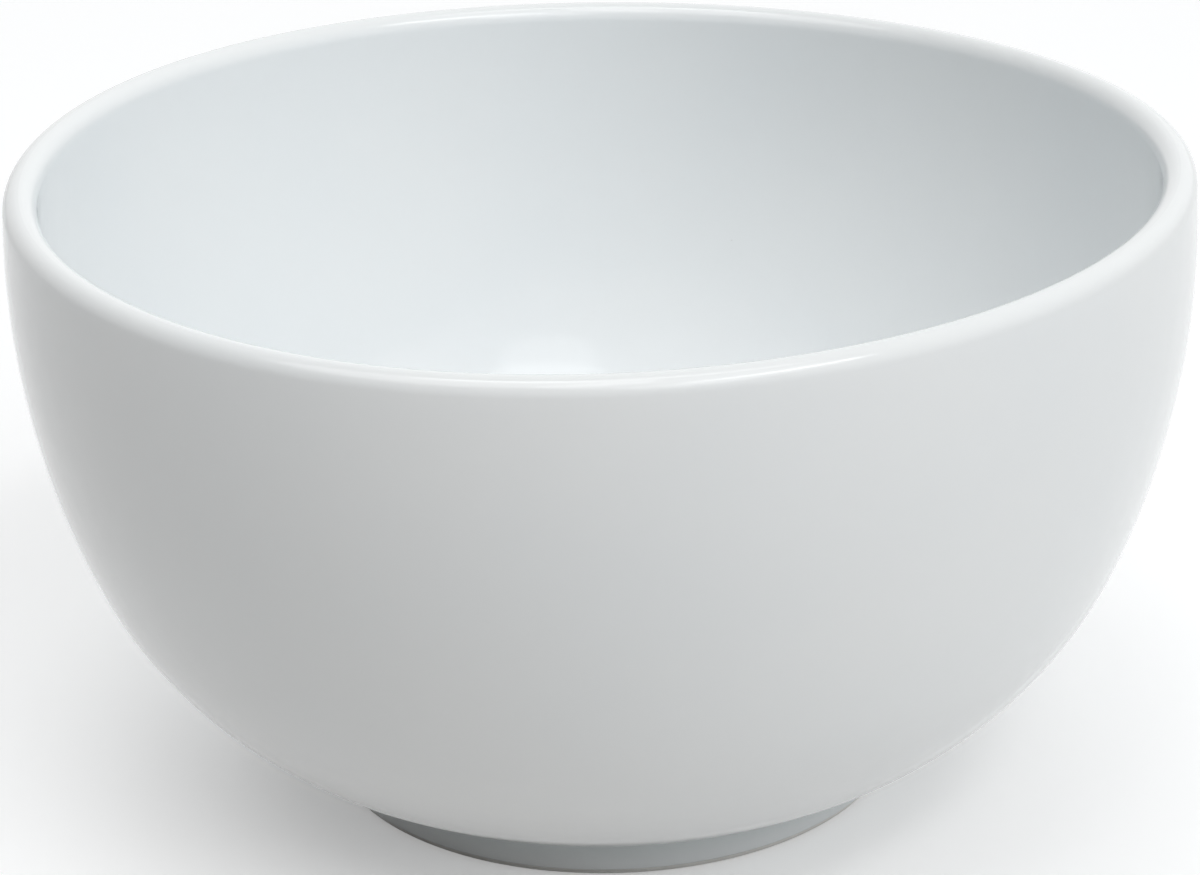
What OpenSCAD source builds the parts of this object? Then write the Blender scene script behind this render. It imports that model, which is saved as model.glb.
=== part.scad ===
// Latte bowl: a deep porcelain bowl with a full-round lip, on a low foot ring. The foot is turned
// by itself and stuck to the flat seat under the bowl with slip. One coat of glaze lines the inside
// and another covers the outside, and they meet on the crest of the lip. A third covers the well
// inside the foot. The face that the foot stands on is bare.
// The axis of the bowl is Z, and the foot stands on Z = 0. Every piece is one section, turned.

/* [Wall] */
// Greatest outside diameter, a little under the lip
bowl_d = 152; // [148:1:156]
// Height from the table to the crest of the lip
bowl_h = 84; // [81:0.5:86]
// Height at which the outside is widest
belly_z = 73; // [72:0.5:74]
// Thickness of the lip and the upper wall, glaze included
lip_t = 4.3; // [3.4:0.1:5]
// Radius in section of the nearly upright upper wall
upper_r = 103; // [100:1:106]
// Angle below level at which the upper wall turns into the lower wall
turn_angle = 22; // [21:0.5:23]
// Radius in section of the round lower wall
lower_r = 52; // [51.5:0.5:53]
// Radius in section of the inside of the lower wall, which runs into the flat inside floor
inside_turn_r = 40; // [38:0.5:41]

/* [Foot] */
// Height of the foot ring, up to its seat under the bowl
foot_h = 5.8; // [5.4:0.1:6.4]
// Width of the foot ring at the table, round edges included
foot_w = 4.8; // [4:0.1:6]
// Lean of the outside of the foot, which narrows towards the table
foot_taper = 12; // [6:1:14]
// Lean of the inside of the foot, which widens towards the table
well_taper = 8; // [4:1:12]
// Radius of the two edges beside the standing face
edge_r = 0.8; // [0.5:0.1:1]
// Rise of the underside of the bowl in the middle of the well
dome_rise = 0.6; // [0.3:0.1:0.9]

/* [Glaze] */
// Thickness of the glaze
glaze_t = 0.35; // [0.25:0.05:0.5]
// Height above the table at which the glaze stops
glaze_stop = 1; // [1:0.1:1.4]
// Radius of the glaze that pools in the two creases at the top of the foot
pool_r = 1.2; // [0.8:0.1:1.6]

/* [Hidden] */
$fn = 120;
arc_error = 0.02;
porcelain_colour = "#efeeea";
glaze_colour = "#e9eff0";

// Points are [radius, height] in the section, and directions are degrees above level.
function polar(r, a) = [r * cos(a), r * sin(a)];
function direction(from, to) = atan2(to[1] - from[1], to[0] - from[0]);
function reversed(points) = [for (i = [len(points) - 1 : -1 : 0]) points[i]];

// Points along an arc, no chord of it further than arc_error from it. The end point is left out,
// because it starts the next stretch.
function arc(c, r, from, to) =
    let (steps = ceil(abs(to - from) / (2 * acos(1 - arc_error / r))))
    [for (i = [0 : steps - 1]) c + polar(r, from + (to - from) * i / steps)];

// The further of the two points of the line from p along the unit vector u that lie r from c
function on_line(p, u, c, r) =
    let (along = (c - p) * u)
    p + u * (along + sqrt(r * r - (p - c) * (p - c) + along * along));

// Wall: outside and inside arcs about one centre, then arcs that touch these at the turn
upper_c = [bowl_d / 2 - upper_r, belly_z];
lower_c = upper_c + polar(upper_r - lower_r, -turn_angle);
inside_r = upper_r - lip_t;
inside_turn_c = upper_c + polar(inside_r - inside_turn_r, -turn_angle);
floor_z = inside_turn_c[1] - inside_turn_r;

// Lip: a half circle on the end of the upper wall
lip_r = lip_t / 2;
lip_angle = asin((bowl_h - lip_r - belly_z) / (upper_r - lip_r));
lip_c = upper_c + polar(upper_r - lip_r, lip_angle);

// Foot ring: its outside meets the bare wall at the seat, and its round edges touch the table.
seat = [lower_c[0] + sqrt(pow(lower_r - glaze_t, 2) - pow(lower_c[1] - foot_h, 2)), foot_h];
seat_angle = direction(lower_c, seat);
foot_out = polar(1, -foot_taper);
foot_up = polar(1, 90 - foot_taper);
side_h = foot_h - edge_r * (1 - sin(foot_taper));
foot_edge_c = [seat[0] - side_h * tan(foot_taper) - edge_r * cos(foot_taper), edge_r];

// Well inside the foot: its side leans the other way, and the underside domes over it.
well_out = polar(1, 180 + well_taper);
well_up = polar(1, 90 + well_taper);
well_edge_c = foot_edge_c - [foot_w - 2 * edge_r, 0];
well_side = well_edge_c + edge_r * well_out;
well_top = well_side + well_up * (foot_h - well_side[1]) / well_up[1];
dome_r = (pow(well_top[0], 2) + pow(dome_rise, 2)) / (2 * dome_rise);
dome_c = [0, foot_h + dome_rise - dome_r];
well_angle = direction(dome_c, well_top);

// Pools of glaze: hollow arcs that touch the glaze on both sides of a crease
crease_c = on_line(seat + (glaze_t + pool_r) * foot_out, -foot_up, lower_c, lower_r + pool_r);
crease_angle = direction(lower_c, crease_c);
corner_c = on_line(well_side + (glaze_t + pool_r) * well_out, well_up, dome_c, dome_r - glaze_t - pool_r);
corner_angle = direction(dome_c, corner_c);

// Stretches of the section, at a depth under the face of the glaze. The inside runs from the middle
// of the floor to the crest of the lip, and the outside from the crest down to an angle on the lower wall.
function inside(depth) = concat(
    [[0, floor_z - depth]],
    arc(inside_turn_c, inside_turn_r + depth, -90, -turn_angle),
    arc(upper_c, inside_r + depth, -turn_angle, lip_angle),
    arc(lip_c, lip_r - depth, lip_angle + 180, 90));
function crest(depth) = lip_c + [0, lip_r - depth];
function outside(depth, end) = concat(
    arc(lip_c, lip_r - depth, 90, lip_angle),
    arc(upper_c, upper_r - depth, lip_angle, -turn_angle),
    arc(lower_c, lower_r - depth, -turn_angle, end));

// The underside of the bowl over the well, from the axis to an angle, under a thickness of glaze
function dome(glaze, end) = arc(dome_c, dome_r - glaze, 90, end);

// Where the glaze stops on a side of the foot: on the face of the glaze, then on the foot
function stop(top, up, out) =
    let (low = top - up * (top[1] - glaze_stop) / up[1])
    [low + [glaze_t / out[0], 0], low];

module bowl_body() {
    color(porcelain_colour) rotate_extrude()
        polygon(concat(inside(glaze_t),
                       outside(glaze_t, seat_angle),
                       [seat, well_top],
                       reversed(dome(0, well_angle))));
}

module foot_ring() {
    color(porcelain_colour) rotate_extrude()
        polygon(concat([seat, well_top],
                       arc(well_edge_c, edge_r, 180 + well_taper, 270),
                       [[well_edge_c[0], 0]],
                       arc(foot_edge_c, edge_r, 270, 360 - foot_taper),
                       [foot_edge_c + edge_r * foot_out]));
}

module inner_glaze() {
    color(glaze_colour) rotate_extrude()
        polygon(concat(inside(0),
                       [crest(0), crest(glaze_t)],
                       reversed(inside(glaze_t))));
}

module outer_glaze() {
    color(glaze_colour) rotate_extrude()
        polygon(concat(outside(0, crease_angle),
                       arc(crease_c, pool_r, crease_angle + 180, 180 - foot_taper),
                       [crease_c - pool_r * foot_out],
                       stop(seat, foot_up, foot_out),
                       [seat],
                       reversed(outside(glaze_t, seat_angle))));
}

module well_glaze() {
    color(glaze_colour) rotate_extrude()
        polygon(concat(dome(glaze_t, corner_angle),
                       arc(corner_c, pool_r, corner_angle, well_taper),
                       [corner_c - pool_r * well_out],
                       stop(well_top, well_up, well_out),
                       [well_top],
                       reversed(dome(0, well_angle))));
}

bowl_body();
foot_ring();
inner_glaze();
outer_glaze();
well_glaze();
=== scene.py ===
import math

import bpy
import numpy as np
from mathutils import Matrix, Vector


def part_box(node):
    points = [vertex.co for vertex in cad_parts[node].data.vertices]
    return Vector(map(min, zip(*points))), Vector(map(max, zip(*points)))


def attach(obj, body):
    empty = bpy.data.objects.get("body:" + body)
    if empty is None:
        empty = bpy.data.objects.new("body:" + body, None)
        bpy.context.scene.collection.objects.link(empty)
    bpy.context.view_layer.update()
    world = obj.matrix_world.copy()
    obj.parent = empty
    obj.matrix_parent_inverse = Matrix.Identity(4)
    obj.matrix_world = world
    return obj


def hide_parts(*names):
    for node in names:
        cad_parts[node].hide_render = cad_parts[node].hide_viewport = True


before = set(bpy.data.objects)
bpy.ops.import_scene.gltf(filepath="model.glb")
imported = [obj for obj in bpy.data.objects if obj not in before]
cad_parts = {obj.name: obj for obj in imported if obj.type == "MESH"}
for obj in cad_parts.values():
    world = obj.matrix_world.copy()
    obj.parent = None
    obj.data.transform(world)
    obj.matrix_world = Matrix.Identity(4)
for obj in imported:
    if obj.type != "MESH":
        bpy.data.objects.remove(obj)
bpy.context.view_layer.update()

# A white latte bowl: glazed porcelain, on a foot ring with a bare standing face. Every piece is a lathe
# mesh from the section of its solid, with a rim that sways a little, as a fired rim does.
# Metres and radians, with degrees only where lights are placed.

# Camera, as fitted to the photograph, with its sensor in millimetres
PHOTO_W = 1200
CAMERA_AT = Vector((0, -0.4278, 0.2251))
CAMERA_TO = Vector((-0.0007, 0, 0.0444))
CAMERA_ROLL = math.radians(-1.38)
FOCAL_PIXELS = 3513
SENSOR_W = 36
CLIP_START = 0.01

# Section of the bowl: the sizes of its solids
BOWL_R, BOWL_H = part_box("outer_glaze")[1].x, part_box("outer_glaze")[1].z
FOOT_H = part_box("foot_ring")[1].z
BELLY_Z = 0.073
LIP_T = 0.0043
UPPER_R, LOWER_R, INSIDE_TURN_R = 0.103, 0.052, 0.040
TURN = math.radians(22)
FOOT_W = 0.0048
FOOT_TAPER, WELL_TAPER = math.radians(12), math.radians(8)
EDGE_R = 0.0008
DOME_RISE = 0.0006
GLAZE_T, GLAZE_STOP, POOL_R = 0.00035, 0.001, 0.0012

# The rim sways up towards two opposite sides and down between them
RIM_SWAY = 0.00069
SWAY_TOWARDS = math.radians(-23)
RIM_H = BOWL_H - RIM_SWAY

# Fineness of the meshes
SIDES = 256
ARC_ERROR = 0.000004
SHARP = math.radians(35)


# Section: points are (radius, height)

def polar(r, a):
    return r * np.array((math.cos(a), math.sin(a)))


def direction(start, end):
    """The angle of the line from one point to another."""
    return math.atan2(end[1] - start[1], end[0] - start[0])


def arc(centre, r, start, end):
    """Points along an arc, without its end, which starts the next stretch."""
    steps = math.ceil(abs(end - start) / (2 * math.acos(1 - ARC_ERROR / r)))
    return [centre + polar(r, start + (end - start) * i / steps) for i in range(steps)]


def on_line(p, u, centre, r):
    """The further point of the line from p along u that lies r from the centre."""
    along = (centre - p) @ u
    return p + u * (along + math.sqrt(r * r - (p - centre) @ (p - centre) + along * along))


UP, DOWN, INWARD = math.pi / 2, -math.pi / 2, math.pi
UPPER_C = np.array((BOWL_R - UPPER_R, BELLY_Z))
LOWER_C = UPPER_C + polar(UPPER_R - LOWER_R, -TURN)
INSIDE_R = UPPER_R - LIP_T
INSIDE_TURN_C = UPPER_C + polar(INSIDE_R - INSIDE_TURN_R, -TURN)
FLOOR_Z = INSIDE_TURN_C[1] - INSIDE_TURN_R
LIP_R = LIP_T / 2
LIP_ANGLE = math.asin((RIM_H - LIP_R - BELLY_Z) / (UPPER_R - LIP_R))
LIP_C = UPPER_C + polar(UPPER_R - LIP_R, LIP_ANGLE)
SEAT = np.array((LOWER_C[0] + math.sqrt((LOWER_R - GLAZE_T) ** 2 - (LOWER_C[1] - FOOT_H) ** 2), FOOT_H))
SEAT_ANGLE = direction(LOWER_C, SEAT)
FOOT_OUT, FOOT_UP = polar(1, -FOOT_TAPER), polar(1, UP - FOOT_TAPER)
SIDE_H = FOOT_H - EDGE_R * (1 - math.sin(FOOT_TAPER))
FOOT_EDGE_C = np.array((SEAT[0] - SIDE_H * math.tan(FOOT_TAPER) - EDGE_R * math.cos(FOOT_TAPER), EDGE_R))
WELL_OUT, WELL_UP = polar(1, INWARD + WELL_TAPER), polar(1, UP + WELL_TAPER)
WELL_EDGE_C = FOOT_EDGE_C - (FOOT_W - 2 * EDGE_R, 0)
WELL_SIDE = WELL_EDGE_C + EDGE_R * WELL_OUT
WELL_TOP = WELL_SIDE + WELL_UP * (FOOT_H - WELL_SIDE[1]) / WELL_UP[1]
DOME_R = (WELL_TOP[0] ** 2 + DOME_RISE ** 2) / (2 * DOME_RISE)
DOME_C = np.array((0, FOOT_H + DOME_RISE - DOME_R))
WELL_ANGLE = direction(DOME_C, WELL_TOP)
CREASE_C = on_line(SEAT + (GLAZE_T + POOL_R) * FOOT_OUT, -FOOT_UP, LOWER_C, LOWER_R + POOL_R)
CREASE_ANGLE = direction(LOWER_C, CREASE_C)
CORNER_C = on_line(WELL_SIDE + (GLAZE_T + POOL_R) * WELL_OUT, WELL_UP, DOME_C, DOME_R - GLAZE_T - POOL_R)
CORNER_ANGLE = direction(DOME_C, CORNER_C)


def inside(depth):
    """From the middle of the inside floor to the crest of the lip, at a depth under the glaze."""
    return [np.array((0, FLOOR_Z - depth)),
            *arc(INSIDE_TURN_C, INSIDE_TURN_R + depth, DOWN, -TURN),
            *arc(UPPER_C, INSIDE_R + depth, -TURN, LIP_ANGLE),
            *arc(LIP_C, LIP_R - depth, LIP_ANGLE + INWARD, UP)]


def crest(depth):
    """The top of the lip, at a depth under the glaze."""
    return LIP_C + (0, LIP_R - depth)


def outside(depth, end):
    """From the crest of the lip down to an angle on the lower wall, at a depth under the glaze."""
    return [*arc(LIP_C, LIP_R - depth, UP, LIP_ANGLE),
            *arc(UPPER_C, UPPER_R - depth, LIP_ANGLE, -TURN),
            *arc(LOWER_C, LOWER_R - depth, -TURN, end)]


def dome(glaze, end):
    """From the middle of the underside out to an angle, under a thickness of glaze."""
    return arc(DOME_C, DOME_R - glaze, UP, end)


def bead(top, up, out):
    """The round end of a coat of glaze on a side of the foot, from its face to the foot."""
    low = top - up * (top[1] - GLAZE_STOP) / up[1]
    facing = math.atan2(out[1], out[0])
    turn = math.remainder(math.atan2(-up[1], -up[0]) - facing, 2 * math.pi)
    return [*arc(low + GLAZE_T * up, GLAZE_T, facing, facing + turn), low]


SECTIONS = {
    "bowl_body": [*inside(GLAZE_T),
                  *outside(GLAZE_T, SEAT_ANGLE), SEAT,
                  WELL_TOP, *reversed(dome(0, WELL_ANGLE))],
    "foot_ring": [SEAT, WELL_TOP,
                  *arc(WELL_EDGE_C, EDGE_R, INWARD + WELL_TAPER, INWARD + UP), WELL_EDGE_C - (0, EDGE_R),
                  *arc(FOOT_EDGE_C, EDGE_R, DOWN, -FOOT_TAPER), FOOT_EDGE_C + EDGE_R * FOOT_OUT],
    "inner_glaze": [*inside(0), crest(0), crest(GLAZE_T), *reversed(inside(GLAZE_T))],
    "outer_glaze": [*outside(0, CREASE_ANGLE),
                    *arc(CREASE_C, POOL_R, CREASE_ANGLE + INWARD, INWARD - FOOT_TAPER),
                    CREASE_C - POOL_R * FOOT_OUT,
                    *bead(SEAT, FOOT_UP, FOOT_OUT), SEAT, *reversed(outside(GLAZE_T, SEAT_ANGLE))],
    "well_glaze": [*dome(GLAZE_T, CORNER_ANGLE),
                   *arc(CORNER_C, POOL_R, CORNER_ANGLE, WELL_TAPER), CORNER_C - POOL_R * WELL_OUT,
                   *bead(WELL_TOP, WELL_UP, WELL_OUT), WELL_TOP, *reversed(dome(0, WELL_ANGLE))],
}


# Meshes

def sway(points):
    """Lifts and lowers points with the rim, less and less towards the foot."""
    x, y, z = points.T
    lift = RIM_SWAY * (z / RIM_H) ** 2 * np.cos(2 * (np.arctan2(y, x) - SWAY_TOWARDS))
    return np.stack((x, y, z + lift), 1)


def lathe(name, section):
    """A closed mesh: the section turned about Z, its faces outward."""
    r, z = np.array(section).T
    if np.sum(r * np.roll(z, -1) - np.roll(r, -1) * z) < 0:
        r, z = r[::-1], z[::-1]
    turns = np.linspace(0, 2 * math.pi, SIDES, endpoint=False)
    points, rings = [], []
    for radius, height in zip(r, z):
        round_it = turns if radius > ARC_ERROR else turns[:1]
        rings.append(np.resize(np.arange(len(round_it)) + len(points), SIDES))
        points += [(radius * math.cos(t), radius * math.sin(t), height) for t in round_it]
    faces = []
    for low, high in zip(rings, rings[1:] + rings[:1]):
        for i in range(SIDES):
            j = (i + 1) % SIDES
            corners = list(dict.fromkeys(int(c) for c in (low[i], low[j], high[j], high[i])))
            if len(corners) > 2:
                faces.append(corners)
    mesh = bpy.data.meshes.new(name)
    mesh.from_pydata(sway(np.array(points)).tolist(), [], faces)
    mesh.polygons.foreach_set("use_smooth", [True] * len(mesh.polygons))
    mesh.set_sharp_from_angle(angle=SHARP)
    return mesh


def piece(name, node, material):
    """A piece of the bowl in place of the CAD node whose section it has."""
    made = bpy.data.objects.new(name, lathe(name, SECTIONS[node]))
    made.data.materials.append(material)
    bpy.context.scene.collection.objects.link(made)
    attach(made, "root")
    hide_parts(node)


# Materials

def set_inputs(tree, node, inputs):
    """Sets a node's inputs to values, or links them from sockets."""
    for key, value in inputs.items():
        if isinstance(value, bpy.types.NodeSocket):
            tree.links.new(value, node.inputs[key])
        else:
            node.inputs[key].default_value = value


def add(tree, kind, inputs=None, **settings):
    """A shader node with its settings and inputs."""
    made = tree.nodes.new("ShaderNode" + kind)
    for key, value in settings.items():
        setattr(made, key, value)
    set_inputs(tree, made, inputs or {})
    return made


def new_material(name):
    """A material, its node tree and its Principled shader."""
    made = bpy.data.materials.new(name)
    made.use_nodes = True
    tree = made.node_tree
    return made, tree, tree.nodes["Principled BSDF"]


def noise(tree, where, size, detail=2.0):
    """Noise with features of about that size."""
    return add(tree, "TexNoise", {"Vector": where, "Scale": 1 / size, "Detail": detail}).outputs["Fac"]


def ramp(tree, value, low, high, to_low, to_high, smooth=False):
    """A value taken from one range to another, and held at the ends."""
    ends = {"From Min": low, "From Max": high, "To Min": to_low, "To Max": to_high}
    kind = "SMOOTHSTEP" if smooth else "LINEAR"
    return add(tree, "MapRange", {"Value": value, **ends}, interpolation_type=kind).outputs["Result"]


def math_node(tree, operation, a, b=0):
    return add(tree, "Math", {0: a, 1: b}, operation=operation).outputs[0]


def vector_node(tree, operation, a, b=(0, 0, 0)):
    """A number worked out from vectors, such as a length or a distance."""
    return add(tree, "VectorMath", {0: a, 1: b}, operation=operation).outputs["Value"]


# Sockets of a Mix node that belong to colours
MIX_A, MIX_B, MIX_RESULT = 6, 7, 2


def mix(tree, share, a, b):
    """A colour, and a share of another one."""
    return add(tree, "Mix", {"Factor": share, MIX_A: a, MIX_B: b}, data_type="RGBA").outputs[MIX_RESULT]


def bump(tree, height, strength, depth, **over):
    """A relief of that depth, over another one where that is given as Normal."""
    inputs = {"Height": height, "Strength": strength, "Distance": depth, **over}
    return add(tree, "Bump", inputs).outputs["Normal"]


def from_axis(tree, axes):
    """The distance from the bowl's axis."""
    flat = add(tree, "CombineXYZ", {"X": axes["X"], "Y": axes["Y"]}).outputs["Vector"]
    return vector_node(tree, "LENGTH", flat)


# Where most values of a noise lie
NOISE_LOW, NOISE_HIGH = 0.3, 0.7

# Glaze and porcelain alike
IOR = 1.5

# Glaze
GLAZE_WHITE = (0.90, 0.92, 0.925, 1)
GLAZE_DRIFT = (0.885, 0.91, 0.92, 1)
# Darker teal by the creases: partly pooled glaze, partly painted shade on the foot and lower wall
GLAZE_POOLED_SHADE = (0.74, 0.785, 0.79, 1)
GLAZE_THIN = (0.885, 0.895, 0.885, 1)
SPECK = (0.30, 0.27, 0.23, 1)
DRIFT_FROM, DRIFT_TO = 0.35, 0.65
THIN_SHARE = 0.5
POOL_SHADE_REACH = 0.005
SPECK_R, SPECK_GAP, SPECK_SHARE = 0.0002, 0.016, 0.55
GLAZE_GLOSSIEST, GLAZE_DULLEST = 0.05, 0.11


def glaze_material():
    """Glossy cool white, darker by the creases as pooled glaze and as painted shade, warmer where it is
    thin on the lip, with rare specks.
    """
    made, tree, shader = new_material("glaze")
    where = add(tree, "TexCoord").outputs["Object"]
    axes = add(tree, "SeparateXYZ", {"Vector": where}).outputs
    height = axes["Z"]
    section = add(tree, "CombineXYZ", {"X": from_axis(tree, axes), "Y": height}).outputs["Vector"]
    drift = ramp(tree, noise(tree, where, size=0.035, detail=3), DRIFT_FROM, DRIFT_TO, 0, 1)
    colour = mix(tree, drift, GLAZE_WHITE, GLAZE_DRIFT)
    thin = ramp(tree, height, RIM_H - LIP_R, RIM_H, 0, THIN_SHARE, smooth=True)
    colour = mix(tree, thin, colour, GLAZE_THIN)
    # Painted shade: the glaze darkens within a few millimetres of the foot crease and the well corner,
    # standing in for pooled glaze and for shade
    for crease in (SEAT, WELL_TOP):
        away = vector_node(tree, "DISTANCE", section, (*crease, 0))
        pooled_shade = ramp(tree, away, POOL_R / 2, POOL_SHADE_REACH, 1, 0, smooth=True)
        colour = mix(tree, pooled_shade, colour, GLAZE_POOLED_SHADE)
    cells = add(tree, "TexVoronoi", {"Vector": where, "Scale": 1 / SPECK_GAP}).outputs["Distance"]
    colour = mix(tree, ramp(tree, cells, 0, SPECK_R / SPECK_GAP, SPECK_SHARE, 0), colour, SPECK)
    gloss = noise(tree, where, size=0.02)
    waves = bump(tree, noise(tree, where, size=0.012), strength=0.04, depth=0.001)
    ripples = bump(tree, noise(tree, where, size=0.0015), strength=0.02, depth=0.0002, Normal=waves)
    set_inputs(tree, shader, {
        "Base Color": colour,
        "Roughness": ramp(tree, gloss, NOISE_LOW, NOISE_HIGH, GLAZE_GLOSSIEST, GLAZE_DULLEST),
        "IOR": IOR,
        "Normal": ripples,
    })
    return made


# Bare porcelain
PORCELAIN = (0.86, 0.85, 0.82, 1)
PORCELAIN_DULL = (0.78, 0.765, 0.73, 1)
RUBBED = (0.62, 0.61, 0.59, 1)
STANDING_H = 0.0003
RUB_FROM, RUB_TO, RUB_SHARE = 0.55, 0.75, 0.7
RING_PITCH, RING_WANDER = 0.00035, 0.0002
PORCELAIN_SMOOTHEST, PORCELAIN_ROUGHEST = 0.55, 0.8


def porcelain_material():
    """Bare fired porcelain: matt and fine-grained, ground in rings where it stands, with grey rub marks."""
    made, tree, shader = new_material("porcelain")
    where = add(tree, "TexCoord").outputs["Object"]
    axes = add(tree, "SeparateXYZ", {"Vector": where}).outputs
    colour = mix(tree, noise(tree, where, size=0.004, detail=4), PORCELAIN, PORCELAIN_DULL)
    standing = ramp(tree, axes["Z"], 0, STANDING_H, 1, 0)
    rubs = ramp(tree, noise(tree, where, size=0.006, detail=6), RUB_FROM, RUB_TO, 0, RUB_SHARE)
    colour = mix(tree, math_node(tree, "MULTIPLY", standing, rubs), colour, RUBBED)
    wander = ramp(tree, noise(tree, where, size=0.01), 0, 1, 0, RING_WANDER)
    radius = math_node(tree, "ADD", from_axis(tree, axes), wander)
    rings = math_node(tree, "SINE", math_node(tree, "MULTIPLY", radius, 2 * math.pi / RING_PITCH))
    grit = bump(tree, noise(tree, where, size=0.0004, detail=4), strength=0.35, depth=0.0001)
    ground_rings = math_node(tree, "MULTIPLY", rings, standing)
    ground = bump(tree, ground_rings, strength=0.3, depth=0.00005, Normal=grit)
    rough = noise(tree, where, size=0.003, detail=4)
    set_inputs(tree, shader, {
        "Base Color": colour,
        "Roughness": ramp(tree, rough, NOISE_LOW, NOISE_HIGH, PORCELAIN_SMOOTHEST, PORCELAIN_ROUGHEST),
        "IOR": IOR,
        "Normal": ground,
    })
    return made


# Stage

# The floor lights the bowl as a grey, and is seen paler, with a glow that lifts it to white
FLOOR_SIDE = 6
FLOOR_GREY = (0.70, 0.685, 0.67, 1)
FLOOR_GLOW = 0.3
FLOOR_SHADED = (0.8, 0.8, 0.8, 1)
WHITE = (1, 1, 1, 1)
DAYLIGHT = (0.95, 0.98, 1, 1)


def towards(azimuth, elevation):
    """A direction out from the bowl, from degrees. Azimuth 0 is the camera's side, 90 the right."""
    a, e = math.radians(azimuth), math.radians(elevation)
    return Vector((math.sin(a) * math.cos(e), -math.cos(a) * math.cos(e), math.sin(e)))


def seen(tree):
    """1 for rays from the camera, and for those that mirror or pass on its view."""
    rays = add(tree, "LightPath").outputs
    either = math_node(tree, "MAXIMUM", rays["Is Camera Ray"], rays["Is Glossy Ray"])
    return math_node(tree, "MAXIMUM", either, rays["Is Transmission Ray"])


def floor():
    """A pale floor that looks white, with the soft shadow of what stands on it."""
    mesh = bpy.data.meshes.new("floor")
    half = FLOOR_SIDE / 2
    corners = [(-half, -half, 0), (half, -half, 0), (half, half, 0), (-half, half, 0)]
    mesh.from_pydata(corners, [], [(0, 1, 2, 3)])
    material = bpy.data.materials.new("floor")
    material.use_nodes = True
    tree = material.node_tree
    tree.nodes.clear()
    plain = add(tree, "BsdfDiffuse", {"Color": FLOOR_GREY}).outputs["BSDF"]
    shaded = add(tree, "BsdfDiffuse", {"Color": FLOOR_SHADED}).outputs["BSDF"]
    shine = add(tree, "Emission", {"Color": WHITE, "Strength": FLOOR_GLOW}).outputs["Emission"]
    bright = add(tree, "AddShader", {0: shaded, 1: shine}).outputs["Shader"]
    both = add(tree, "MixShader", {"Fac": seen(tree), 1: plain, 2: bright}).outputs["Shader"]
    add(tree, "OutputMaterial", {"Surface": both})
    mesh.materials.append(material)
    made = bpy.data.objects.new("floor", mesh)
    bpy.context.scene.collection.objects.link(made)


def glow(tree, where, azimuth, elevation, narrowing, level):
    """A broad light without an edge. Its level is what a surface that faces it gets."""
    facing = vector_node(tree, "DOT_PRODUCT", where, towards(azimuth, elevation))
    lobe = math_node(tree, "POWER", math_node(tree, "MAXIMUM", facing, 0), narrowing)
    return math_node(tree, "MULTIPLY", lobe, level * (narrowing + 2) / 2)


def surroundings():
    """A tent of soft light, white to look at."""
    world = bpy.data.worlds.new("studio")
    world.use_nodes = True
    tree = world.node_tree
    tree.nodes.clear()
    where = add(tree, "TexCoord").outputs["Generated"]
    behind = glow(tree, where, azimuth=180, elevation=22, narrowing=4, level=0.53)
    right = glow(tree, where, azimuth=60, elevation=20, narrowing=10, level=0.37)
    level = math_node(tree, "ADD", behind, right)
    light = add(tree, "Background", {"Color": DAYLIGHT, "Strength": level}).outputs["Background"]
    white = add(tree, "Background", {"Color": WHITE, "Strength": 1}).outputs["Background"]
    both = add(tree, "MixShader", {"Fac": seen(tree), 1: light, 2: white}).outputs["Shader"]
    add(tree, "OutputWorld", {"Surface": both})
    bpy.context.scene.world = world


MIDDLE = Vector((0, 0, BOWL_H / 2))
SOFTBOX_AWAY = 2.5


def softbox(name, azimuth, elevation, width, height, level):
    """An oval soft light aimed at the bowl. Its level is what a surface that faces it gets."""
    out = towards(azimuth, elevation)
    lamp = bpy.data.lights.new(name, "AREA")
    lamp.shape = "ELLIPSE"
    lamp.size = width
    lamp.size_y = height
    lamp.energy = level * (math.pi * SOFTBOX_AWAY) ** 2
    made = bpy.data.objects.new(name, lamp)
    made.location = MIDDLE + out * SOFTBOX_AWAY
    made.rotation_mode = "QUATERNION"
    made.rotation_quaternion = (-out).to_track_quat("-Z", "Y")
    bpy.context.scene.collection.objects.link(made)


def camera():
    """The photograph's camera, rolled a little about its view."""
    data = bpy.data.cameras.new("camera")
    data.sensor_fit = "HORIZONTAL"
    data.sensor_width = SENSOR_W
    data.lens = FOCAL_PIXELS * SENSOR_W / PHOTO_W
    data.clip_start = CLIP_START
    ahead = (CAMERA_TO - CAMERA_AT).normalized()
    level = ahead.cross(Vector((0, 0, 1))).normalized()
    upright = level.cross(ahead)
    right = level * math.cos(CAMERA_ROLL) + upright * math.sin(CAMERA_ROLL)
    above = upright * math.cos(CAMERA_ROLL) - level * math.sin(CAMERA_ROLL)
    made = bpy.data.objects.new("camera", data)
    turn = Matrix((right, above, -ahead)).transposed().to_4x4()
    made.matrix_world = Matrix.Translation(CAMERA_AT) @ turn
    bpy.context.scene.collection.objects.link(made)
    bpy.context.scene.camera = made


bpy.context.scene.view_settings.view_transform = "Standard"
camera()
floor()
surroundings()
softbox("top", azimuth=-60, elevation=70, width=2.0, height=2.0, level=0.29)
softbox("key", azimuth=25, elevation=60, width=2.0, height=2.0, level=0.22)
softbox("strip", azimuth=42, elevation=56, width=1.4, height=0.4, level=0.10)
softbox("window", azimuth=16, elevation=39, width=1.0, height=1.0, level=0.04)
softbox("overhead", azimuth=180, elevation=83, width=1.6, height=0.5, level=0.09)

glaze = glaze_material()
porcelain = porcelain_material()
piece("porcelain_body", "bowl_body", porcelain)
piece("porcelain_foot", "foot_ring", porcelain)
piece("inside_coat", "inner_glaze", glaze)
piece("outside_coat", "outer_glaze", glaze)
piece("well_coat", "well_glaze", glaze)
